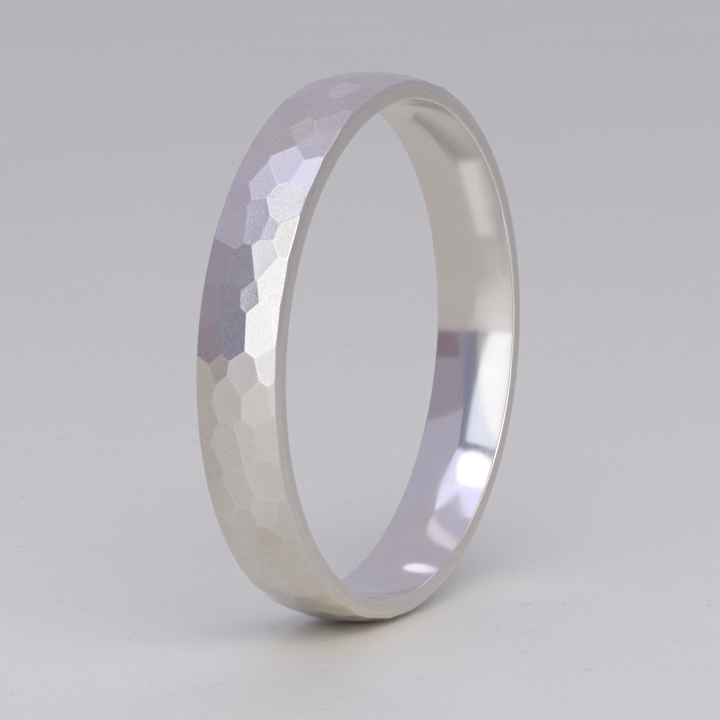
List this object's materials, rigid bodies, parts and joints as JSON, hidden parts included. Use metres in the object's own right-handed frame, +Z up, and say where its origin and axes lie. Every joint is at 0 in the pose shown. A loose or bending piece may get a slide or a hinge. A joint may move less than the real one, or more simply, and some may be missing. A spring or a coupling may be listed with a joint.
{
  "type": "wedding band",
  "caption": "Plain domed finger ring in white metal: hammered matte outside, flat bevelled sides, polished comfort-fit bore.",
  "frame": {"origin": "centre of the finger bore, at the middle of the band's width", "axes": "+Y along the finger bore's axis, +Z up with the ring standing on its rim, +X to the right seen from -Y"},
  "size_m": [0.0214, 0.0036, 0.0214],
  "materials": {
    "white_metal": "matte hammered outside, satin side faces, mirror-polished bore"
  },
  "bodies": {
    "root": {"band": "white_metal"}
  },
  "joints": []
}
